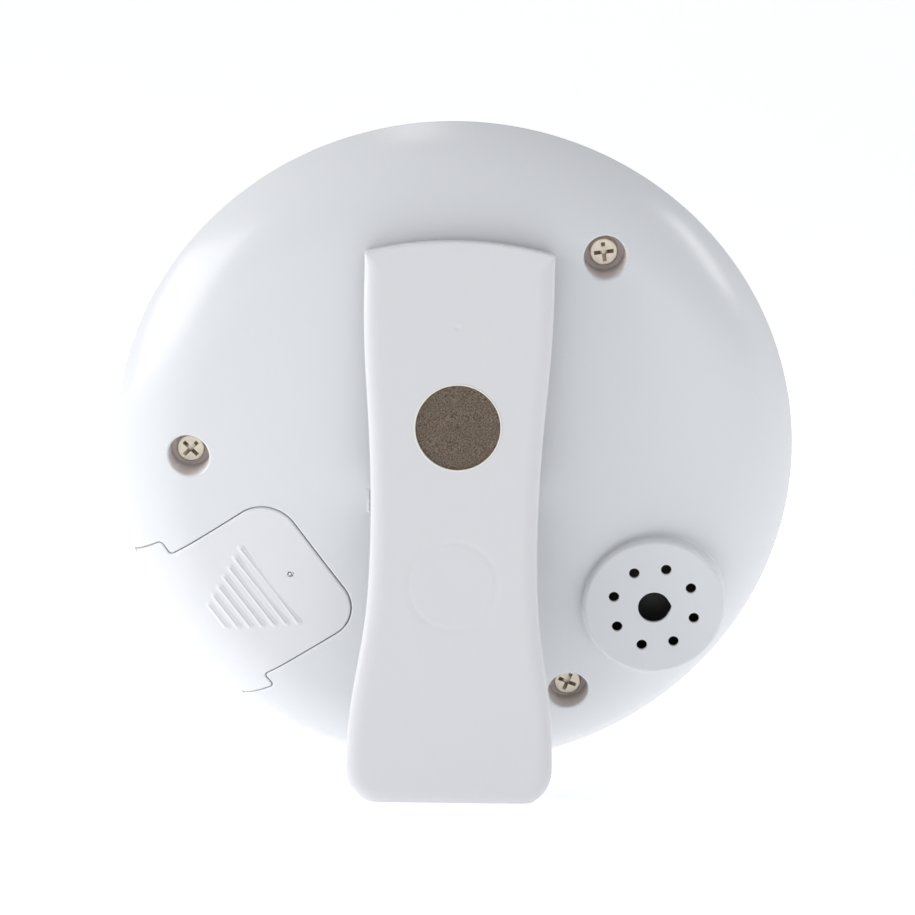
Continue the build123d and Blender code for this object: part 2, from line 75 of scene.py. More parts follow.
# ---------------------------------------------------------------- sizes, mm
RIM_R = 40.0
CROWN_R, CROWN_H, CROWN_EDGE_R, SHOULDER_R = 162.0, 9.3, 31.0, 13.5
CROWN_Z = CROWN_H - CROWN_R
SLOPE = asin(CROWN_EDGE_R / CROWN_R)
SHOULDER_AT = ((CROWN_R - SHOULDER_R) * sin(SLOPE), CROWN_Z + (CROWN_R - SHOULDER_R) * cos(SLOPE))
FRONT_Z, FRONT_SIDE_R, FRONT_CORNER_R = -7.5, 18.97, 2.0
FRONT_SIDE_AT = (22.67, 7.715)
FRONT_CORNER_AT = (33.31, -5.5)
FRONT_CORNER_END = 34.57
SCREW_TURNS = (57, 177, 297)
EDGE = 0.25                  # rounding of the moulded edges
SKIN_T = 0.6                 # how deep the walls of the openings reach
SEAM = 0.09                  # half the width of the joint line round the rim
BACK_FALL, FRONT_RUN = 1.67, 0.45    # the back's fall and the front's run beside the rim
BACK_RIM, FRONT_RIM = RIM_R - SEAM / BACK_FALL, RIM_R - SEAM * FRONT_RUN

SCREW_PCD_R, SCREW_RECESS_R, SCREW_SEAT_Z, RECESS_EDGE = 30.8, 2.4, 2.2, 0.3
SCREW_HOLE_R = 1.1
SOUNDER_AT, SOUNDER_R, SOUNDER_TOP = (23.6, -15.5), 8.42, 9.15
BASE_FILLET, BOSS_EDGE = 0.25, 0.6
HOLE_R, HOLES_R, HOLES_FROM, CENTRE_HOLE_R, HOLE_EDGE = 0.6, 4.89, 120, 1.85, 0.12
HOLE_LIP, HOLE_DEPTH, HOLE_FLARE = 0.3, 1.2, 0.6
NICK_OUT, NICK_AT, NICK_HALF = 0.2, 0.05, 0.42

DOOR_ANGLE, DOOR_OFFSET = radians(216.0), -1.15
DOOR_HALF, DOOR_INNER, EARS_AT, EAR_HALF = 9.25, 18.5, 33.6, 11.15
DOOR_BEYOND, DOOR_CORNER_R, EAR_CORNER_R = 46, 4.3, 0.5
DOOR_GAP, DOOR_RIM_Z = 0.09, 0.15
DOOR_RIM = RIM_R - DOOR_RIM_Z / BACK_FALL
RIBS, RIB_FIRST, RIB_PITCH, RIB_HALF, RIB_HEIGHT = 7, 25.6, 1.3, 0.6, 0.13
RIB_LONGEST, RIB_SHORTEST, RIB_SHIFT, RIB_SUNK = 12.0, 4.0, -0.1, 0.003
DOOR_GATE_AT, DOOR_GATE_R, DOOR_GATE_HALF = (22.7, 0.0), 0.3, 0.2
DOOR_GATE_HEIGHT, DOOR_GATE_SLOPE, DOOR_GATE_SUNK = 0.04, 0.12, 0.002

START_AT, START_SIZE = (0, -18.5), (17.0, 8.5)
SIDE_KEY_AT, SIDE_KEY_R = (17.5, -11.0), 4.8
KEY_GAP, KEY_PROUD, KEY_EDGE, KEY_LOW = 0.15, 1.1, 0.8, -5.65
FLANGE_OUT, FLANGE_T = 0.65, 0.9
LCD_AT, WINDOW_SIZE, WINDOW_CORNER_R = 9.0, (45.2, 22.2), 2.6
INK_Z, INK_T = -5.72, 0.018
DIGITS_X, DIGIT_W, DIGIT_H = (-13.4, -5.6, 5.6, 13.4), 5.6, 10.6
BAR, BAR_GAP = 1.15, 0.12
COLON_Y, COLON_HALF, COLON_W = 2.2, 0.75, 1.0

LEAF_FACE, LEAF_T, LEAF_WALL = 5.0, 1.8, 1.4
LEAF_CORNER, LEAF_TOP, LEAF_LOW = 28.4, 29.8, -34.5
LEAF_SIDE = ((10.6, LEAF_CORNER), (10.53, 19.0), (9.85, 9.0), (9.44, -3.5), (10.05, -14.5), (11.5, -24.5))
FOOT_HALF, FOOT_CORNER, FOOT_RISE = 11.75, 4.1, 4.3
EAR_R = 2.7                  # the clip's ears round the pin
JAW_LOW, WALL_LOW, TAIL_LOW, FOOT_LOW = -0.8, 1.6, 1.4, 0.6
JAW_RAMP, TAIL_AT, FOOT_AT, FOOT_SLOPE = 1.0, -2, -30.5, 0.55
CLEAR = 0.3                  # between the clip's walls and the case
ROLL_WIDTH, ROLL_DEPTH, ROLL_FADE = 1.8, 0.9, 1.6
TOP_WIDTH, TOP_DEPTH = 0.3, 0.16
WALL_EDGE = 0.16
CLIP_GATE_AT = (-0.1, 20.2)
MAGNET_AT, MAGNET_R, MAGNET_DOWN, MAGNET_T, MAGNET_EDGE = (0.17, 9.0), 4.9, 0.3, 2.0, 0.12
MAGNET_SEAT_R, MAGNET_SEAT_Z = 6.2, 1.6
LIP_R, LIP_HALF, LIP_HEIGHT = 4.86, 0.10, 0.05
SPRING_AT, SPRING_R, SPRING_WIRE, SPRING_FOOT, SPRING_TURNS = -9.0, 3.7, 0.35, -4.1, 5
SPRING_CUP_R, SPRING_CUP_IN, SPRING_CUP_Z = 5.25, 4.35, 2.4
SEAT_EDGE = 0.2


# ---------------------------------------------------------------- surfaces: height and normal over (x, y)
def on_circle(x, y, centre, radius, side):
    r = max(hypot(x, y), 1e-9)
    across = min(max(r - centre[0], -radius * 0.999), radius * 0.999) if r > 1e-6 else -centre[0]
    rise = sqrt(radius * radius - across * across)
    n = Vector((across * x / r, across * y / r, side * rise)) / radius
    return centre[1] + side * rise, n


def back_at(x, y):
    if hypot(x, y) <= CROWN_EDGE_R:
        return on_circle(x, y, (0, CROWN_Z), CROWN_R, 1)
    return on_circle(x, y, SHOULDER_AT, SHOULDER_R, 1)


def front_at(x, y):
    r = hypot(x, y)
    if r <= FRONT_CORNER_AT[0]:
        return FRONT_Z, Vector((0, 0, -1))
    if r <= FRONT_CORNER_END:
        return on_circle(x, y, FRONT_CORNER_AT, FRONT_CORNER_R, -1)
    return on_circle(x, y, FRONT_SIDE_AT, FRONT_SIDE_R, -1)


def flat_at(z, side=1):
    return lambda x, y: (z, Vector((0, 0, side)))


# ---------------------------------------------------------------- outlines: lists of (point, outward normal)
def circle(at, radius, step=0.3):
    count = max(24, ceil(2 * pi * radius / step))
    turns = [2 * pi * i / count for i in range(count)]
    return [((at[0] + radius * cos(a), at[1] + radius * sin(a)), (cos(a), sin(a))) for a in turns]


def straight(a, b, step):
    """Points from a towards b, without b, with the normal on the right of the way."""
    way = Vector(b) - Vector(a)
    count = max(1, ceil(way.length / step))
    n = (way.y / way.length, -way.x / way.length)
    return [(tuple(Vector(a) + way * (i / count)), n) for i in range(count)]


def rounded(corners, radii, closed=True, step=0.6):
    """An outline through corners given anticlockwise, each rounded to its radius."""
    count, cuts = len(corners), []
    for i, corner in enumerate(corners):
        p = Vector(corner)
        if radii[i] == 0:
            cuts.append((p, p, []))
            continue
        a, b = Vector(corners[i - 1]), Vector(corners[(i + 1) % count])
        u, v = (a - p).normalized(), (b - p).normalized()
        half = acos(max(-1, min(1, u.dot(v)))) / 2
        reach = radii[i] / tan(half)
        centre = p + (u + v).normalized() * radii[i] / sin(half)
        turn = copysign(pi - 2 * half, u.y * v.x - u.x * v.y)
        steps = max(4, ceil(radii[i] * abs(turn) / 0.3))
        arc = []
        for k in range(steps + 1):
            angle = turn * k / steps
            spin = Matrix.Rotation(angle, 2)
            way = spin @ -u
            arc.append((tuple(centre + spin @ (p + u * reach - centre)), (way.y, -way.x)))
        cuts.append((p + u * reach, p + v * reach, arc))
    outline = []
    for i in range(count if closed else count - 1):
        outline += cuts[i][2]
        start, end = cuts[i][1], cuts[(i + 1) % count][0]
        if (end - start).length > 1e-6:
            outline += straight(start, end, step)[1 if cuts[i][2] else 0:]
    return outline


def moved(outline, distance):
    return [((p[0] + n[0] * distance, p[1] + n[1] * distance), n) for p, n in outline]


def slot_outline(at, width, height, radius=None):
    r = radius or height / 2 - 1e-3
    x, y, w, h = at[0], at[1], width / 2, height / 2
    return rounded([(x - w, y - h), (x + w, y - h), (x + w, y + h), (x - w, y + h)], [r] * 4)


def within(outline):
    """A test for points inside a closed outline."""
    poly = np.array([p for p, _ in outline])
    x0, y0 = poly[:, 0], poly[:, 1]
    x1, y1 = np.roll(x0, -1), np.roll(y0, -1)

    def test(x, y):
        crosses = (y0 > y) != (y1 > y)
        with np.errstate(divide="ignore", invalid="ignore"):
            at = (x1 - x0) * (y - y0) / (y1 - y0) + x0
        return bool(np.count_nonzero(crosses & (x < at)) % 2)
    return test


# ---------------------------------------------------------------- meshes
class Piece:
    """The patches of one piece, each vertex with the true surface's normal."""

    def __init__(self):
        self.points, self.normals, self.faces = [], [], []

    def rings(self, rings, closed=True):
        """Quads between rings of (point, normal)."""
        size = len(rings[0])
        first = len(self.points)
        for ring in rings:
            for p, n in ring:
                self.points.append(tuple(p))
                self.normals.append(tuple(n))
        for k in range(len(rings) - 1):
            for i in range(size if closed else size - 1):
                a, b = first + k * size + i, first + k * size + (i + 1) % size
                self.faces.append((a, b, b + size, a + size))

    def patch(self, at, outlines, inside, spots=()):
        """The surface over a flat region, in triangles between its outlines."""
        flat, edges = [], []
        for outline, closed in outlines:
            first, size = len(flat), len(outline)
            flat += [p for p, _ in outline]
            edges += [(first + i, first + (i + 1) % size) for i in range(size if closed else size - 1)]
        border = np.array(flat)
        for x, y in spots:
            if np.min(np.hypot(border[:, 0] - x, border[:, 1] - y)) > 0.3 and inside(x, y):
                flat.append((x, y))
        made = delaunay_2d_cdt([Vector(p) for p in flat], edges, [], 0, 1e-6)
        corners, triangles, used = made[0], made[2], {}
        for triangle in triangles:
            x = sum(corners[i].x for i in triangle) / 3
            y = sum(corners[i].y for i in triangle) / 3
            if not inside(x, y):
                continue
            for i in triangle:
                if i not in used:
                    used[i] = len(self.points)
                    z, n = at(*corners[i])
                    self.points.append((corners[i].x, corners[i].y, z))
                    self.normals.append(tuple(n))
            self.faces.append(tuple(used[i] for i in triangle))

    def edge(self, at, outline, side, radius, bottom, closed=True, steps=4, depths=None):
        """A rounded edge and the wall below it, of an opening (side 1) or of a plate (side -1)."""
        radii = radius if isinstance(radius, list) else [radius] * len(outline)
        depths = depths or radii
        rings = []
        for k in range(steps + 1):
            a, ring = pi / 2 * k / steps, []
            for ((x, y), (nx, ny)), f, g in zip(outline, radii, depths):
                mx, my = side * nx, side * ny
                px, py = x + mx * f * (1 - sin(a)), y + my * f * (1 - sin(a))
                z, n = at(px, py)
                down = copysign(g * (1 - cos(a)), n.z)
                turned = n * f * cos(a) - Vector((mx, my, 0)) * g * sin(a)
                ring.append(((px, py, z - down), turned.normalized()))
            rings.append(ring)
        if bottom is not None:
            low = [((x, y, bottom(x, y)), (-side * nx, -side * ny, 0)) for (x, y), (nx, ny) in outline]
            rings.append(low)
        self.rings(rings, closed)

    def revolve(self, at, profile, steps=48):
        """A profile of (radius, z, normal_r, normal_z) turned about an axis at a point."""
        rings = []
        for r, z, nr, nz in profile:
            turns = [2 * pi * i / steps for i in range(steps)]
            rings.append([((at[0] + r * cos(a), at[1] + r * sin(a), z), (nr * cos(a), nr * sin(a), nz))
                          for a in turns])
        self.rings(rings)

    def make(self, name, place, material, body, slot, nodes=(), clamp=False):
        points = [place @ Vector(p) for p in self.points]
        turn = place.to_3x3().normalized()
        normals = [(turn @ Vector(n)).normalized() for n in self.normals]
        if clamp:
            for p in points:
                p.z = max(p.z, 0.0)
        faces = []
        for face in self.faces:
            a, b, c = (points[i] for i in face[:3])
            facing = (b - a).cross(c - b)
            if len(face) == 4:
                facing += (points[face[3]] - c).cross(a - points[face[3]])
            if facing.length < 1e-16:
                continue
            faces.append(face if facing.dot(sum((normals[i] for i in face), Vector())) > 0 else face[::-1])
        mesh = bpy.data.meshes.new(name)
        mesh.from_pydata([tuple(p) for p in points], [], faces)
        mesh.polygons.foreach_set("use_smooth", [True] * len(mesh.polygons))
        mesh.normals_split_custom_set_from_vertices([tuple(n) for n in normals])
        return show(mesh, name, material, body, nodes)


def show(mesh, name, material, body, nodes=()):
    obj = bpy.data.objects.new(name, mesh)
    bpy.context.scene.collection.objects.link(obj)
    mesh.materials.clear()
    mesh.materials.append(material)
    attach(obj, body)
    if nodes:
        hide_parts(*nodes)
    return obj


def remainder(node, name, at, material, body, gone=None, sink=EDGE):
    """A node's walls and inside without its outer skin, whose rim is let in to meet rounded edges."""
    mesh = frame["nodes"][node].data.copy()
    back = CASE.inverted()
    local = [back @ v.co for v in mesh.vertices]
    surface = [at(p.x, p.y) for p in local]
    on = [abs(p.z - s[0]) < 0.01 for p, s in zip(local, surface)]
    turn = back.to_3x3().normalized()
    drop = set()
    for face in mesh.polygons:
        normal = turn @ face.normal
        skin = all(on[i] for i in face.vertices) and normal.dot(surface[face.vertices[0]][1]) > 0.8
        centre = sum((local[i] for i in face.vertices), Vector()) / len(face.vertices)
        if skin or (gone and gone(centre, [local[i] for i in face.vertices])):
            drop.add(face.index)
    points = []
    for p, s, is_on in zip(local, surface, on):
        q = p.copy()
        if is_on and abs(p.z) < 0.4:
            q.xy = p.xy * (1 - 0.5 / RIM_R)
        elif is_on:
            q.z -= copysign(sink, s[1].z)
        points.append(CASE @ q)
    faces = [tuple(f.vertices) for f in mesh.polygons if f.index not in drop]
    kept = bpy.data.meshes.new(name)
    kept.from_pydata([tuple(p) for p in points], [], faces)
    kept.polygons.foreach_set("use_smooth", [True] * len(kept.polygons))
    kept.set_sharp_from_angle(angle=radians(30))
    return show(kept, name, material, body)


# ---------------------------------------------------------------- materials
def material(name, color, rough, metallic=0.0, spread=0.04, rough_spread=0.05, scale=900.0, bump=0.0,
             bump_scale=6000.0, contrast=0.2, **sockets):
    """A procedural finish: colour and roughness wander a little, over a fine grain."""
    made = bpy.data.materials.new(name)
    made.use_nodes = True
    nodes, links = made.node_tree.nodes, made.node_tree.links
    shader = nodes["Principled BSDF"]
    where = nodes.new("ShaderNodeTexCoord")
    noise = nodes.new("ShaderNodeTexNoise")
    noise.inputs["Scale"].default_value = scale
    noise.inputs["Detail"].default_value = 4.0
    links.new(where.outputs["Object"], noise.inputs["Vector"])
    ramp = nodes.new("ShaderNodeValToRGB")
    for k, share in enumerate((1 - spread, 1 + spread)):
        tone = [min(1.0, c * share) for c in color[:3]]
        ramp.color_ramp.elements[k].color = (*tone, 1.0)
    ramp.color_ramp.elements[0].position = 0.5 - contrast
    ramp.color_ramp.elements[1].position = 0.5 + contrast
    links.new(noise.outputs["Fac"], ramp.inputs["Fac"])
    links.new(ramp.outputs["Color"], shader.inputs["Base Color"])
    span = nodes.new("ShaderNodeMapRange")
    span.inputs["To Min"].default_value = max(0.0, rough - rough_spread)
    span.inputs["To Max"].default_value = min(1.0, rough + rough_spread)
    links.new(noise.outputs["Fac"], span.inputs["Value"])
    links.new(span.outputs["Result"], shader.inputs["Roughness"])
    shader.inputs["Metallic"].default_value = metallic
    if bump:
        grain = nodes.new("ShaderNodeTexNoise")
        grain.inputs["Scale"].default_value = bump_scale
        grain.inputs["Detail"].default_value = 3.0
        links.new(where.outputs["Object"], grain.inputs["Vector"])
        relief = nodes.new("ShaderNodeBump")
        relief.inputs["Strength"].default_value = bump
        relief.inputs["Distance"].default_value = 0.00005
        links.new(grain.outputs["Fac"], relief.inputs["Height"])
        links.new(relief.outputs["Normal"], shader.inputs["Normal"])
    for socket, value in sockets.items():
        shader.inputs[socket.replace("_", " ")].default_value = value
    return made


ABS = dict(spread=0.004, rough_spread=0.012, scale=2600, bump=0.03, bump_scale=3500)
WHITE = material("white_abs", (0.725, 0.735, 0.755), 0.24, **ABS)
CLIP_WHITE = material("clip_white", (0.72, 0.72, 0.74), 0.26, **ABS)
DOOR_WHITE = material("door_white", (0.74, 0.745, 0.765), 0.28, **ABS)
# painted light: a lighter, pinker copy of the case's white ABS, so the shade in the screw recesses comes out
# soft and warm
RECESS_PAINTED_GLOW = material("recess_painted_glow", (0.90, 0.84, 0.82), 0.5, **ABS)
# painted highlight: the magnet's lip is a lighter, yellower copy of the clip's white ABS, so it reads as a
# bright rim
LIP_PAINTED_HIGHLIGHT = material("lip_painted_highlight", (0.80, 0.78, 0.72), 0.2, **ABS)
MAGNET = material("magnet_face", (0.150, 0.112, 0.083), 0.5, metallic=0.35, spread=0.6, rough_spread=0.2,
                  scale=6200, bump=1.0, bump_scale=5200, contrast=0.15)
NICKEL = material("nickel_screw", (0.62, 0.56, 0.47), 0.33, metallic=1.0, spread=0.12, rough_spread=0.1,
                  scale=1500, bump=0.15)
ZINC = material("zinc_screw", (0.6, 0.6, 0.58), 0.35, metallic=1.0, spread=0.1, scale=1500)
SPRING = material("spring_wire", (0.55, 0.55, 0.56), 0.28, metallic=1.0, spread=0.08, scale=2000)
CELL = material("cell_steel", (0.72, 0.72, 0.72), 0.2, metallic=1.0, spread=0.05, scale=1200, bump=0.1)
CONTACT = material("contact_metal", (0.70, 0.66, 0.56), 0.3, metallic=1.0, spread=0.08, scale=1500)
# painted shade: the sounder's plate is near-black so that its holes in the boss read dark
SOUNDER_PAINTED_SHADE = material("sounder_plate_painted_shade", (0.012, 0.011, 0.010), 0.6, spread=0.2, scale=900)     # dark in its holes
CERAMIC = material("piezo_ceramic", (0.62, 0.61, 0.57), 0.55, spread=0.06, scale=1800, bump=0.3)
BOARD = material("board_green", (0.03, 0.16, 0.06), 0.4, spread=0.25, scale=700, bump=0.2)
RESIN = material("black_resin", (0.012, 0.012, 0.013), 0.12, spread=0.2, scale=900)
CHIP = material("chip_ceramic", (0.12, 0.08, 0.05), 0.6, spread=0.3, scale=3000)
CARBON = material("carbon_rubber", (0.02, 0.02, 0.02), 0.8, spread=0.3, scale=3000)
SILICONE = material("silicone", (0.55, 0.55, 0.53), 0.6, spread=0.04, scale=1500, bump=0.1)
BUTTON = material("button_grey", (0.30, 0.33, 0.36), 0.34, spread=0.02, rough_spread=0.04, scale=500,
                  bump=0.08, bump_scale=2500)
LCD = material("lcd_glass", (0.40, 0.45, 0.385), 0.22, metallic=0.25, spread=0.03, rough_spread=0.04,
               scale=900, bump=0.05)
INK = material("lcd_ink", (0.018, 0.022, 0.02), 0.3, spread=0.25, scale=1500)
WINDOW = material("clear_window", (0.96, 0.98, 0.98), 0.03, spread=0.01, rough_spread=0.02, scale=300,
                  Transmission_Weight=1.0, IOR=1.49)

FINISHES = {
    "display_window": (WINDOW, "clear_window"), "lcd_panel": (LCD, "display_glass"),
    "zebra_strip": (CARBON, "carbon_rubber"), "circuit_board": (BOARD, "board_laminate"),
    "chip_cover": (RESIN, "black_resin"), "crystal": (ZINC, "can_metal"),
    "board_components": (CHIP, "chip_part"), "board_screws": (ZINC, "zinc_screw"),
    "piezo_plate": (SOUNDER_PAINTED_SHADE, "brass_disc"), "piezo_ceramic": (CERAMIC, "piezo_white"),
    "sounder_springs": (SPRING, "spring_steel"), "coin_cell": (CELL, "cell_steel"),
    "contact_positive": (CONTACT, "contact_metal"), "contact_negative": (CONTACT, "contact_metal"),
    "case_screws": (NICKEL, "nickel_screw"), "clip_pin": (CLIP_WHITE, "clip_abs"),
    "start_pill": (CARBON, "carbon_rubber"), "minute_pill": (CARBON, "carbon_rubber"),
    "second_pill": (CARBON, "carbon_rubber"),
}
BEVELLED = {"case_screws": 0.06, "clip_pin": 0.15, "coin_cell": 0.1, "board_components": 0.1, "crystal": 0.2,
            "board_screws": 0.08, "display_window": 0.15, "zebra_strip": 0.1}
for node, (finish, slot) in FINISHES.items():
    obj = frame["nodes"][node]
    obj.data.materials.clear()
    obj.data.materials.append(finish)
    if node in BEVELLED:
        bevel = obj.modifiers.new("edges", "BEVEL")
        bevel.width = BEVELLED[node] * MM
        bevel.segments = 3
        bevel.limit_method = "ANGLE"
        bevel.angle_limit = radians(40)

# ---------------------------------------------------------------- rubber domes, flattened by their buttons
for key in ("start", "minute", "second"):
    node = frame["nodes"][key + "_dome"]
    mesh = node.data.copy()
    mesh.transform(node.matrix_world)
    rubber = show(mesh, key + "_rubber", SILICONE, "case", [key + "_dome"])
    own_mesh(rubber)

# ---------------------------------------------------------------- outlines of the openings
def door_xy(s, t):
    t += DOOR_OFFSET
    return s * cos(DOOR_ANGLE) - t * sin(DOOR_ANGLE), s * sin(DOOR_ANGLE) + t * cos(DOOR_ANGLE)


half_door = ((DOOR_BEYOND, EAR_HALF, 0), (EARS_AT, EAR_HALF, EAR_CORNER_R),
             (EARS_AT, DOOR_HALF, EAR_CORNER_R), (DOOR_INNER, DOOR_HALF, DOOR_CORNER_R))
door_corners = [*half_door, *[(s, -t, r) for s, t, r in reversed(half_door)]]
door_line = rounded([door_xy(s, t) for s, t, _ in door_corners], [r for _, _, r in door_corners],
                    closed=False, step=0.5)
FAR_CORNERS = [((-70, -20), (0, 0)), ((-20, -70), (0, 0))]      # these close the door's line, off the case


def to_rim(outline, rim):
    """The stretch of an open outline inside the rim, with its ends on the rim."""
    radii = [hypot(*p) for p, _ in outline]
    inside = [i for i, r in enumerate(radii) if r < rim - 0.02]
    first, last = inside[0], inside[-1]

    def end(i, beyond):
        share = (rim - radii[i]) / (radii[beyond] - radii[i])
        p = Vector(outline[i][0]).lerp(Vector(outline[beyond][0]), share)
        return tuple(p), outline[i][1]
    return [end(first, first - 1)] + outline[first:last + 1] + [end(last, last + 1)]


def dome_spots(limit):
    spots = [(0.0, 0.0)]
    for r in [1.4 * i for i in range(1, 22)] + [30.2 + 0.75 * i for i in range(14)]:
        if r < limit - 0.3:
            count = max(12, int(2 * pi * r / 1.4))
            turns = [2 * pi * (i + 0.5 * (count % 2)) / count for i in range(count)]
            spots += [(r * cos(a), r * sin(a)) for a in turns]
    return spots


def polar(radius, angle):
    return radius * cos(radians(angle)), radius * sin(radians(angle))


def turned_edge(limit, sign):
    """The lip of a cover beside the joint line: rounded in from the surface to the joint."""
    at = back_at if sign > 0 else front_at
    z, n = at(limit, 0)
    return [(limit, z, n.x, n.z), (limit - 0.06, z - sign * 0.05, n.x * 0.6, -sign * 0.6),
            (limit - 0.45, z - sign * 0.05, 0, -sign)]


# ---------------------------------------------------------------- rear cover
opening = moved(door_line, DOOR_GAP)
opening_out = moved(opening, EDGE)
screw_at = [polar(SCREW_PCD_R, angle) for angle in SCREW_TURNS]
in_opening = within([*opening_out, *FAR_CORNERS])


def on_rear_skin(x, y):
    if hypot(x, y) > BACK_RIM or in_opening(x, y):
        return False
    if hypot(x - SOUNDER_AT[0], y - SOUNDER_AT[1]) < SOUNDER_R + BASE_FILLET:
        return False
    return all(hypot(x - sx, y - sy) > SCREW_RECESS_R + RECESS_EDGE for sx, sy in screw_at)


rear = Piece()
rim_circle = circle((0, 0), BACK_RIM, 0.7)
cuts = [(circle(at, SCREW_RECESS_R + RECESS_EDGE), True) for at in screw_at]
cuts.append((circle(SOUNDER_AT, SOUNDER_R + BASE_FILLET), True))
rear.patch(back_at, [(rim_circle, True), (opening_out, False), *cuts], on_rear_skin, dome_spots(BACK_RIM))
recesses = Piece()
for at in screw_at:
    rear.edge(back_at, circle(at, SCREW_RECESS_R), 1, RECESS_EDGE, None)
    line = circle(at, SCREW_RECESS_R)
    recesses.rings([[((*p, back_at(*p)[0] - RECESS_EDGE), (-n[0], -n[1], 0)) for p, n in line],
                    [((*p, SCREW_SEAT_Z), (-n[0], -n[1], 0)) for p, n in line]])
    recesses.revolve(at, [(SCREW_RECESS_R, SCREW_SEAT_Z, 0, 1), (SCREW_HOLE_R, SCREW_SEAT_Z, 0, 1)])
# the recesses' walls and seats take the lighter, pinker ABS that paints light into them
recesses.make("screw_recesses", CASE, RECESS_PAINTED_GLOW, "case", "white_abs")


def below_skin(x, y):
    return back_at(x, y)[0] - SKIN_T


rear.edge(back_at, to_rim(opening, BACK_RIM), 1, EDGE, below_skin, closed=False)

# the sounder's boss stands on a small fillet
base = []
for k in range(5):
    a, ring = pi / 2 * k / 4, []
    for (x, y), (nx, ny) in circle(SOUNDER_AT, SOUNDER_R):
        reach = BASE_FILLET * (1 - sin(a))
        z, n = back_at(x + nx * reach, y + ny * reach)
        ring.append(((x + nx * reach, y + ny * reach, z + BASE_FILLET * (1 - cos(a))),
                     (n * cos(a) + Vector((nx, ny, 0)) * sin(a)).normalized()))
    base.append(ring)
for k in range(7):
    a = pi / 2 * k / 6
    base.append([((x - nx * BOSS_EDGE * (1 - cos(a)), y - ny * BOSS_EDGE * (1 - cos(a)),
                   SOUNDER_TOP - BOSS_EDGE * (1 - sin(a))), (nx * cos(a), ny * cos(a), sin(a)))
                 for (x, y), (nx, ny) in circle(SOUNDER_AT, SOUNDER_R)])
rear.rings(base)


def nicked(at, radius, step):
    """The centre hole, with the nick that its core pin left on the right."""
    line = []
    for (x, y), (nx, ny) in circle(at, radius, step):
        out = NICK_OUT * max(0.0, 1 - abs(atan2(ny, nx) - NICK_AT) / NICK_HALF)
        line.append(((x + nx * out, y + ny * out), (nx, ny)))
    return line


holes = [(SOUNDER_AT, CENTRE_HOLE_R)]
for i in range(8):
    dx, dy = polar(HOLES_R, HOLES_FROM + 45 * i)
    holes.append(((SOUNDER_AT[0] + dx, SOUNDER_AT[1] + dy), HOLE_R))
boss_top = circle(SOUNDER_AT, SOUNDER_R - BOSS_EDGE)


def on_boss_top(x, y):
    if hypot(x - SOUNDER_AT[0], y - SOUNDER_AT[1]) > SOUNDER_R - BOSS_EDGE:
        return False
    return not any(test(x, y) for test in hole_tests)


hole_lines = [nicked(*holes[0], 0.12)] + [circle(at, r, 0.12) for at, r in holes[1:]]
hole_rims = [moved(line, HOLE_EDGE) for line in hole_lines]
hole_tests = [within(line) for line in hole_rims]
rear.patch(flat_at(SOUNDER_TOP), [(boss_top, True), *[(line, True) for line in hole_rims]], on_boss_top)
lip_z, flare_z = SOUNDER_TOP - HOLE_LIP, SOUNDER_TOP - HOLE_DEPTH
for line in hole_lines:      # each hole widens below its lip
    rear.edge(flat_at(SOUNDER_TOP), line, 1, HOLE_EDGE, lambda x, y: lip_z)
    rear.rings([[((*p, lip_z), (-n[0], -n[1], 1)) for p, n in line],
                [((*p, flare_z), (-n[0], -n[1], 1)) for p, n in moved(line, HOLE_FLARE)]])
rear.revolve((0, 0), turned_edge(BACK_RIM, 1), 360)
rear.make("rear_skin", CASE, WHITE, "case", "white_abs", ["rear_cover"])


def rear_gone(centre, corners):
    """What the skin's own patches stand for: the boss's outside, its holes and the screws' recesses."""
    out = hypot(centre.x - SOUNDER_AT[0], centre.y - SOUNDER_AT[1])
    if out < SOUNDER_R + 0.1 and centre.z > flare_z - 0.05:
        return True
    if SOUNDER_R - BOSS_EDGE < out < SOUNDER_R + 0.05 and centre.z > back_at(centre.x, centre.y)[0] - 0.1:
        return True
    for at in screw_at:
        near = hypot(centre.x - at[0], centre.y - at[1])
        if near < SCREW_RECESS_R + 0.02 and centre.z > SCREW_SEAT_Z - 0.02:
            return True
    return False


remainder("rear_cover", "rear_inside", back_at, WHITE, "case", rear_gone)

# ---------------------------------------------------------------- battery door
door_in = moved(door_line, -EDGE)
in_door = within([*door_in, *FAR_CORNERS])
door = Piece()
door.patch(back_at, [(circle((0, 0), DOOR_RIM, 0.7), True), (door_in, False)],
           lambda x, y: hypot(x, y) < DOOR_RIM and in_door(x, y), dome_spots(DOOR_RIM))
door.edge(back_at, to_rim(door_line, DOOR_RIM), -1, EDGE, below_skin, closed=False)
for i in range(RIBS):        # soft raised ribs for the thumb
    length = RIB_LONGEST - (RIB_LONGEST - RIB_SHORTEST) * i / (RIBS - 1)
    s, half = RIB_FIRST + RIB_PITCH * i, length / 2 - 0.35
    spine = [(half, a) for a in np.linspace(0, pi, 13)] + [(-half, a) for a in np.linspace(pi, 2 * pi, 13)]
    rings = []
    for share in np.linspace(1.0, 0.05, 9):
        ring, level = [], (1 - share * share) ** 2
        slope = 4 * share * (1 - share * share) * RIB_HEIGHT / RIB_HALF
        for end, a in spine:
            x, y = door_xy(s + RIB_HALF * share * cos(a), RIB_SHIFT + end + RIB_HALF * share * sin(a))
            z, n = back_at(x, y)
            away = Vector((cos(DOOR_ANGLE + a), sin(DOOR_ANGLE + a), 0))
            ring.append(((x, y, z + RIB_HEIGHT * level - RIB_SUNK), (n + away * slope).normalized()))
        rings.append(ring)
    door.rings(rings)
gate, rings = door_xy(*DOOR_GATE_AT), []
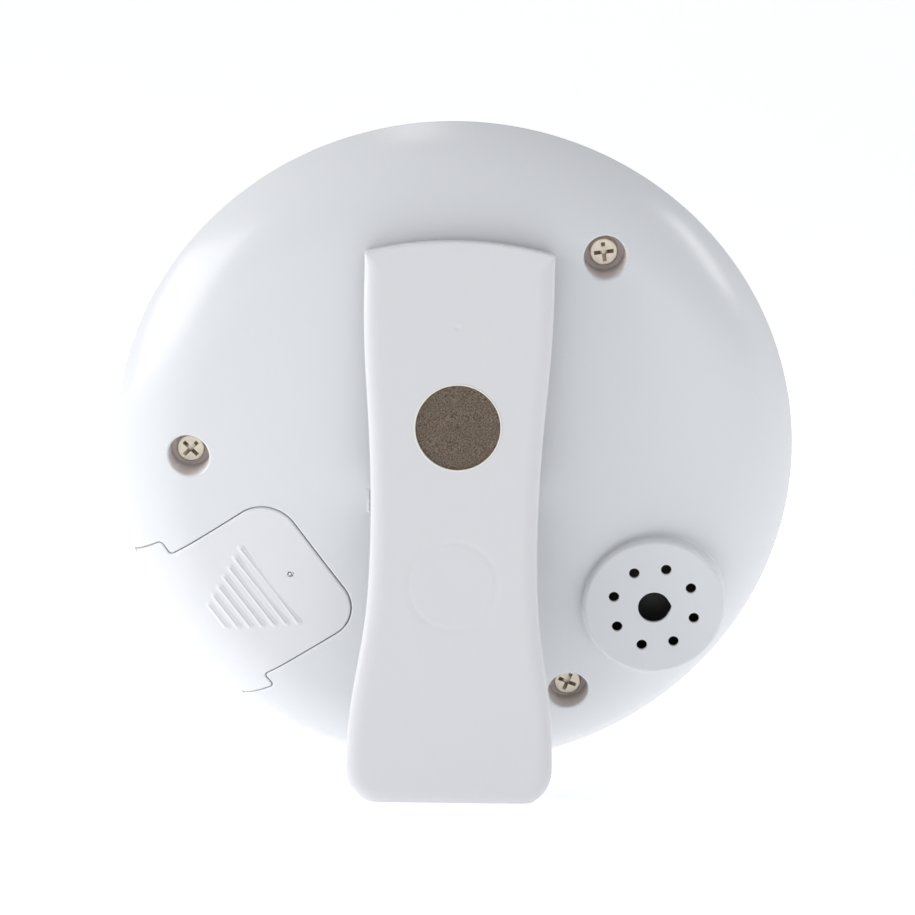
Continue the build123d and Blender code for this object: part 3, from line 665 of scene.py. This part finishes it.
for k in range(9):           # the small ring left by the gate
    share, ring = k / 4 - 1, []
    level = DOOR_GATE_HEIGHT * (1 - share * share) ** 2 - DOOR_GATE_SUNK
    slope = 4 * share * (1 - share * share) * DOOR_GATE_SLOPE
    for (x, y), n in circle(gate, DOOR_GATE_R + DOOR_GATE_HALF * share, 0.06):
        z, up = back_at(x, y)
        ring.append(((x, y, z + level), (up + Vector((*n, 0)) * slope).normalized()))
    rings.append(ring)
door.rings(rings)
door.make("door_skin", CASE, DOOR_WHITE, "door", "door_abs", ["battery_door"])
remainder("battery_door", "door_inside", back_at, DOOR_WHITE, "door",
          lambda centre, corners: any(p.z > back_at(p.x, p.y)[0] + 0.01 for p in corners))

# ---------------------------------------------------------------- front cover, buttons and display
key_lines = {"start": slot_outline(START_AT, *START_SIZE), "minute": circle(SIDE_KEY_AT, SIDE_KEY_R),
             "second": circle((-SIDE_KEY_AT[0], SIDE_KEY_AT[1]), SIDE_KEY_R)}
window_hole = slot_outline((0, LCD_AT), *WINDOW_SIZE, WINDOW_CORNER_R)
key_holes = [moved(line, KEY_GAP) for line in key_lines.values()]
front_holes = [moved(line, EDGE) for line in (window_hole, *key_holes)]
front_tests = [within(line) for line in front_holes]
front = Piece()
front.patch(front_at, [(circle((0, 0), FRONT_RIM, 0.7), True), *[(line, True) for line in front_holes]],
            lambda x, y: hypot(x, y) < FRONT_RIM and not any(t(x, y) for t in front_tests),
            [p for p in dome_spots(FRONT_RIM) if hypot(*p) > 32.5])
for line in (window_hole, *key_holes):
    front.edge(front_at, line, 1, EDGE, None)
front.revolve((0, 0), turned_edge(FRONT_RIM, -1), 360)
front.make("front_skin", CASE, WHITE, "case", "white_abs", ["front_cover"])
remainder("front_cover", "front_inside", front_at, WHITE, "case")

for name, line in key_lines.items():
    cap_at, back_z = flat_at(FRONT_Z - KEY_PROUD, -1), KEY_LOW + FLANGE_T
    key, inner, flange = Piece(), moved(line, -KEY_EDGE), moved(line, FLANGE_OUT)
    key.patch(cap_at, [(inner, True)], within(inner))
    key.edge(cap_at, line, -1, KEY_EDGE, lambda x, y: KEY_LOW, steps=7)
    key.rings([[((*p, KEY_LOW), (0, 0, -1)) for p, _ in edge] for edge in (line, flange)])
    key.rings([[((*p, z), (*n, 0)) for p, n in flange] for z in (KEY_LOW, back_z)])
    key.patch(flat_at(back_z), [(flange, True)], within(flange))
    key.make(name + "_cap", CASE, BUTTON, name + "_key", "button_abs", [name + "_button"])

# four digits and the colon between them, thin on the glass
ink = Piece()


def bar(a, b, width=BAR):
    """One segment: a bar with pointed ends."""
    a, b = Vector(a), Vector(b)
    along = (b - a).normalized()
    across = Vector((-along.y, along.x)) * width / 2
    tip, gap = along * width / 2, along * BAR_GAP
    a, b = a + gap, b - gap
    ends = [a, a + tip + across, b - tip + across, b, b - tip - across, a + tip - across]
    first = len(ink.points)
    ink.points += [(p.x, p.y, INK_Z) for p in ends] + [(p.x, p.y, INK_Z + INK_T) for p in ends]
    ink.normals += [(0, 0, -1)] * 12
    ink.faces.append(tuple(first + i for i in range(6)))
    ink.faces += [(first + i, first + (i + 1) % 6, first + 6 + (i + 1) % 6, first + 6 + i) for i in range(6)]


for x in DIGITS_X:
    left, right = x - DIGIT_W / 2, x + DIGIT_W / 2
    high, low = LCD_AT + DIGIT_H / 2, LCD_AT - DIGIT_H / 2
    bar((left, high), (right, high))
    bar((left, low), (right, low))
    for side in (left, right):
        bar((side, LCD_AT), (side, high))
        bar((side, low), (side, LCD_AT))
for y in (LCD_AT + COLON_Y, LCD_AT - COLON_Y):
    bar((-COLON_HALF, y), (COLON_HALF, y), COLON_W)
ink.make("lcd_digits", CASE, INK, "case", "display_glass")

# ---------------------------------------------------------------- clip
def spline(knots, count):
    """A smooth curve through knots, by natural cubics over the distance along them."""
    knots = np.array(knots, float)
    t = np.r_[0, np.cumsum(np.hypot(*np.diff(knots, axis=0).T))]
    h = np.diff(t)
    size = len(knots)
    system, right = np.eye(size), np.zeros((size, 2))
    for i in range(1, size - 1):
        system[i, i - 1:i + 2] = h[i - 1], 2 * (h[i - 1] + h[i]), h[i]
        right[i] = 6 * ((knots[i + 1] - knots[i]) / h[i] - (knots[i] - knots[i - 1]) / h[i - 1])
    bend = np.linalg.solve(system, right)
    points = []
    for u in np.linspace(0, t[-1], count):
        i = min(int(np.searchsorted(t, u, side="right")) - 1, size - 2)
        a, b = (t[i + 1] - u) / h[i], (u - t[i]) / h[i]
        curved = (a ** 3 - a) * bend[i] + (b ** 3 - b) * bend[i + 1]
        points.append(a * knots[i] + b * knots[i + 1] + curved * h[i] ** 2 / 6)
    return points


def leaf_line():
    side = [tuple(p) for p in spline([*LEAF_SIDE, (FOOT_HALF, LEAF_LOW + FOOT_RISE + 0.2)], 110)]
    side += [(FOOT_HALF - FOOT_CORNER + FOOT_CORNER * cos(a), LEAF_LOW + FOOT_RISE + FOOT_RISE * sin(a))
             for a in np.linspace(0, -pi / 2, 18)[1:]]
    top = LEAF_SIDE[0][0]
    bow = ((LEAF_TOP - LEAF_CORNER) ** 2 + top ** 2) / (2 * (LEAF_TOP - LEAF_CORNER))
    half = asin(top / bow)
    arch = [(bow * sin(a), LEAF_TOP - bow + bow * cos(a)) for a in np.linspace(-half, half, 49)]
    left = [(-x, y) for x, y in side]
    foot = [(x, LEAF_LOW) for x in np.linspace(-(FOOT_HALF - FOOT_CORNER), FOOT_HALF - FOOT_CORNER, 25)[1:-1]]
    return left + foot + side[::-1] + arch[::-1][1:-1]


def with_normals(points):
    """A closed run of points with the outward normal at each."""
    out = []
    for i, p in enumerate(points):
        a, b = Vector(points[i - 1]), Vector(points[(i + 1) % len(points)])
        way = (b - a).normalized()
        out.append((p, (way.y, -way.x)))
    return out


leaf_outline = with_normals(leaf_line())
inner_outline = moved(leaf_outline, -LEAF_WALL)
SIN, COS = sin(radians(CLIP_TILT)), cos(radians(CLIP_TILT))


def leaf_low(x, y):
    """How far down the clip's walls reach: ears round the pin, a jaw at the top, clear of the case."""
    if y > LEAF_CORNER:
        low = JAW_LOW
    elif y > LEAF_CORNER - JAW_RAMP:
        low = WALL_LOW - (WALL_LOW - JAW_LOW) * (y - LEAF_CORNER + JAW_RAMP) / JAW_RAMP
    elif y > TAIL_AT:
        low = WALL_LOW
    else:
        low = max(FOOT_LOW, TAIL_LOW - max(0.0, FOOT_AT - y) * FOOT_SLOPE)
    if abs(y) < EAR_R:
        low = min(low, -sqrt(EAR_R ** 2 - y * y))
    for _ in range(4):
        case_y = PIVOT_Y + y * COS + low * SIN
        z = PIVOT_Z - y * SIN + low * COS
        short = back_at(x, case_y)[0] + CLEAR - z if hypot(x, case_y) < RIM_R - 0.1 else 0
        if short > 0:
            low += short / COS
    return min(low, LEAF_FACE - LEAF_T - 0.1)


# the edge rolls off widely along the sides and the foot, and is nearly sharp along the top
fades = [min(1.0, max(0.0, (p[1] - LEAF_CORNER + ROLL_FADE) / ROLL_FADE)) for p, _ in leaf_outline]
rim_width = [ROLL_WIDTH * (1 - fade) + TOP_WIDTH * fade for fade in fades]
rim_depth = [ROLL_DEPTH * (1 - fade) + TOP_DEPTH * fade for fade in fades]
face_line = [((p[0] - n[0] * f, p[1] - n[1] * f), n) for (p, n), f in zip(leaf_outline, rim_width)]
# the marks in the face: where, at what radius, how wide and how deep
SINKS = (((0.0, SPRING_AT), 5.0, 0.55, 0.035), ((0.0, SPRING_AT), 0.0, 3.0, 0.02),
         (CLIP_GATE_AT, 0.0, 0.5, 0.06))


def face_at(x, y):
    """The clip's outer face, sunk a little where the spring's boss and the gate are behind it."""
    depth, slope = 0.0, Vector((0, 0))
    for at, ring, width, deep in SINKS:
        out = hypot(x - at[0], y - at[1])
        part = (out - ring) / width
        if abs(part) < 1:
            level = deep * (1 - part * part) ** 2
            depth += level
            if out > 1e-6:
                change = -4 * deep * part * (1 - part * part) / width
                slope += Vector((x - at[0], y - at[1])) / out * change
    return LEAF_FACE - depth, Vector((slope.x, slope.y, 1)).normalized()


leaf = Piece()
in_face = within(face_line)
spots = [(0.0, SPRING_AT)]
ring_steps = [*np.arange(0.5, 3.6, 0.5), 4.2, *np.arange(4.45, 5.51, 0.15), 5.7, 6.2, 7.0]
for ring in ring_steps:      # close together where the sunk ring is
    spots += [p for p, _ in circle((0, SPRING_AT), ring, 0.45)]
for ring in (0.1, 0.2, 0.3, 0.4, 0.5, 0.7, 1.2):
    spots += [p for p, _ in circle(CLIP_GATE_AT, ring, 0.15)]
magnet_line = circle(MAGNET_AT, LIP_R + LIP_HALF)
in_magnet = within(magnet_line)
leaf.patch(face_at, [(face_line, True), (magnet_line, True)],
           lambda x, y: in_face(x, y) and not in_magnet(x, y), spots)
leaf.edge(flat_at(LEAF_FACE), leaf_outline, -1, rim_width, None, steps=10, depths=rim_depth)
rings = [[((*p, LEAF_FACE - g), (*n, 0)) for (p, n), g in zip(leaf_outline, rim_depth)]]
lows = [leaf_low(*p) for p, _ in leaf_outline]
for k in range(5):           # the walls' lower edge is rounded from the outside, then up the inside
    a = pi / 2 * k / 4
    shift, rise = -WALL_EDGE * (1 - cos(a)), WALL_EDGE * (1 - sin(a))
    rings.append([((p[0] + n[0] * shift, p[1] + n[1] * shift, low + rise),
                   (n[0] * cos(a), n[1] * cos(a), -sin(a))) for (p, n), low in zip(leaf_outline, lows)])
for k in range(5):
    a = pi / 2 * k / 4
    shift, rise = WALL_EDGE * (1 - sin(a)), WALL_EDGE * (1 - cos(a))
    rings.append([((p[0] + n[0] * shift, p[1] + n[1] * shift, low + rise),
                   (-n[0] * sin(a), -n[1] * sin(a), -cos(a))) for (p, n), low in zip(inner_outline, lows)])
under = LEAF_FACE - LEAF_T
rings.append([((*p, under), (-n[0], -n[1], 0)) for p, n in inner_outline])
leaf.rings(rings)
leaf.patch(flat_at(under, -1), [(inner_outline, True)], within(inner_outline))
for at, outer, inner, low in ((MAGNET_AT[1], MAGNET_SEAT_R, 0.0, MAGNET_SEAT_Z),
                              (SPRING_AT, SPRING_CUP_R, SPRING_CUP_IN, SPRING_CUP_Z)):
    profile = [(outer, under, 1, 0), (outer, low + SEAT_EDGE, 1, 0),
               (outer - 0.3 * SEAT_EDGE, low + 0.3 * SEAT_EDGE, 0.7, -0.7),
               (outer - SEAT_EDGE, low, 0, -1), (inner + 0.01, low, 0, -1)]
    leaf.revolve((0, at), profile)
    if inner:
        leaf.revolve((0, at), [(inner, low, -1, 0), (inner, under, -1, 0)])
leaf.make("clip_body", ASKEW, CLIP_WHITE, "clip", "clip_abs", ["clip_leaf"], clamp=True)

face = LEAF_FACE - MAGNET_DOWN
# the lip round the magnet, in the lighter ABS that paints a bright rim on it
lip = Piece()
profile = [(LIP_R + LIP_HALF * cos(a), LEAF_FACE + LIP_HEIGHT * sin(a), LIP_HEIGHT * cos(a),
            LIP_HALF * sin(a)) for a in np.linspace(0, pi, 9)]
lip.revolve(MAGNET_AT, profile + [(LIP_R - LIP_HALF, LEAF_FACE, -1, 0), (LIP_R - LIP_HALF, face, -1, 0)], 120)
lip.make("magnet_lip", ASKEW, LIP_PAINTED_HIGHLIGHT, "clip", "clip_abs")

magnet = Piece()
chips = np.random.default_rng(7)
profile = [(0.001, face, 0, 1)] + [(MAGNET_R * k / 16, face, 0, 1) for k in range(1, 16)]
profile += [(MAGNET_R - MAGNET_EDGE * (1 - sin(a)), face - MAGNET_EDGE * (1 - cos(a)), sin(a), cos(a))
            for a in np.linspace(0, pi / 2, 5)]
profile += [(MAGNET_R, face - MAGNET_T, 1, 0), (0.001, face - MAGNET_T, 0, -1)]
magnet.revolve(MAGNET_AT, profile, 96)
magnet.points = [(x, y, z + (chips.normal(0, 0.012) if z > face - 0.01 else 0))
                 for x, y, z in magnet.points]
magnet.make("magnet_disc", ASKEW, MAGNET, "clip", "magnet_ferrite", ["clip_magnet"])

# the spring, its end turns lying flat
coil = Piece()
steps, around = 320, 12
foot, head = SPRING_FOOT + SPRING_WIRE, under - SPRING_WIRE
rings = []
for k in range(steps + 1):
    u = k / steps
    ease = min(1.0, max(0.0, (u - 0.1) / 0.8))
    z = foot + (head - foot) * (ease * 0.98 + 0.02 * u)
    a = 2 * pi * SPRING_TURNS * u
    radial = Vector((cos(a), sin(a), 0))
    ring = []
    for j in range(around):
        b = 2 * pi * j / around
        n = radial * cos(b) + Vector((0, 0, 1)) * sin(b)
        ring.append((radial * SPRING_R + Vector((0, SPRING_AT, z)) + n * SPRING_WIRE, n))
    rings.append(ring)
coil.rings(rings)
for ring, way in ((rings[0], 1), (rings[-1], -1)):
    middle = sum((Vector(p) for p, _ in ring), Vector()) / around
    first = len(coil.points)
    facing = (Vector(ring[0][0]) - middle).cross(Vector(ring[3][0]) - middle).normalized() * way
    coil.points += [tuple(p) for p, _ in ring]
    coil.normals += [tuple(facing)] * around
    coil.faces.append(tuple(range(first, first + around)))
points = [tuple(LEAF @ Vector(p)) for p in coil.points]
spring_mesh = bpy.data.meshes.new("clip_coil")
spring_mesh.from_pydata(points, [], coil.faces)
spring_mesh.polygons.foreach_set("use_smooth", [True] * len(spring_mesh.polygons))
spring_mesh.set_sharp_from_angle(angle=radians(40))
spring_mesh.materials.append(SPRING)
spring_obj = bpy.data.objects.new("clip_coil", spring_mesh)
bpy.context.scene.collection.objects.link(spring_obj)
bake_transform(spring_obj)
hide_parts("clip_spring")

# ---------------------------------------------------------------- stage, light and camera
def pale(name, color, rough):
    made = material(name, color, rough, spread=0.004, rough_spread=0.02, scale=8)
    shader = made.node_tree.nodes["Principled BSDF"]
    shader.inputs["Emission Color"].default_value = (0.97, 0.985, 1.0, 1.0)
    shader.inputs["Emission Strength"].default_value = 0.44
    return made


SWEEP_R = 0.9                # the floor's bend up into the backdrop, in metres
bend = [(SWEEP_R + SWEEP_R * sin(a), SWEEP_R - SWEEP_R * cos(a)) for a in np.linspace(0, pi / 2, 24)]
floor_profile = [(-3.0, 0.0), *bend, (2 * SWEEP_R, 3.5)]
floor_mesh = bpy.data.meshes.new("floor")
floor_points = [(x, y, z) for y, z in floor_profile for x in (-4.0, 4.0)]
floor_faces = [(2 * i, 2 * i + 1, 2 * i + 3, 2 * i + 2) for i in range(len(floor_profile) - 1)]
floor_mesh.from_pydata(floor_points, [], floor_faces)
floor_mesh.polygons.foreach_set("use_smooth", [True] * len(floor_faces))
floor_mesh.materials.append(pale("pale_floor", (0.93, 0.935, 0.94), 0.75))
floor = bpy.data.objects.new("floor", floor_mesh)
bpy.context.scene.collection.objects.link(floor)

world = bpy.data.worlds.new("studio")
world.use_nodes = True
world.node_tree.nodes["Background"].inputs["Color"].default_value = (0.95, 0.97, 1.0, 1.0)
world.node_tree.nodes["Background"].inputs["Strength"].default_value = 0.395
bpy.context.scene.world = world


def softbox(name, at, aim, size, power, color=(1, 1, 1)):
    light = bpy.data.lights.new(name, "AREA")
    light.shape, light.size, light.size_y = "RECTANGLE", size[0], size[1]
    light.energy, light.color = power, color
    obj = bpy.data.objects.new(name, light)
    obj.location = at
    obj.rotation_euler = (Vector(aim) - Vector(at)).to_track_quat("-Z", "Y").to_euler()
    bpy.context.scene.collection.objects.link(obj)


softbox("key_left", (-1.00, -0.25, 0.25), (0, 0, 0.03), (0.8, 0.6), 6.9)
softbox("side_right", (1.00, 0.02, 0.15), (0, 0, 0.03), (0.5, 0.5), 0.42)
softbox("upper_right", (0.50, -0.12, 0.30), (0, 0, 0.05), (0.10, 0.22), 0.42)
softbox("overhead", (-0.10, 0.00, 0.65), (0, 0, 0.03), (0.45, 0.12), 0.5)

eye = bpy.data.cameras.new("camera")
eye.sensor_width = 36.0
eye.lens = 106.4
camera = bpy.data.objects.new("camera", eye)
camera.location = (-0.00095, -0.3177, 0.0632)
away = Vector((-0.0043, -0.9970, 0.0775)).normalized()
camera.rotation_mode = "QUATERNION"
camera.rotation_quaternion = away.to_track_quat("Z", "Y") @ Quaternion((0, 0, 1), radians(0.7))
bpy.context.scene.collection.objects.link(camera)
bpy.context.scene.camera = camera
bpy.context.scene.view_settings.view_transform = "Standard"
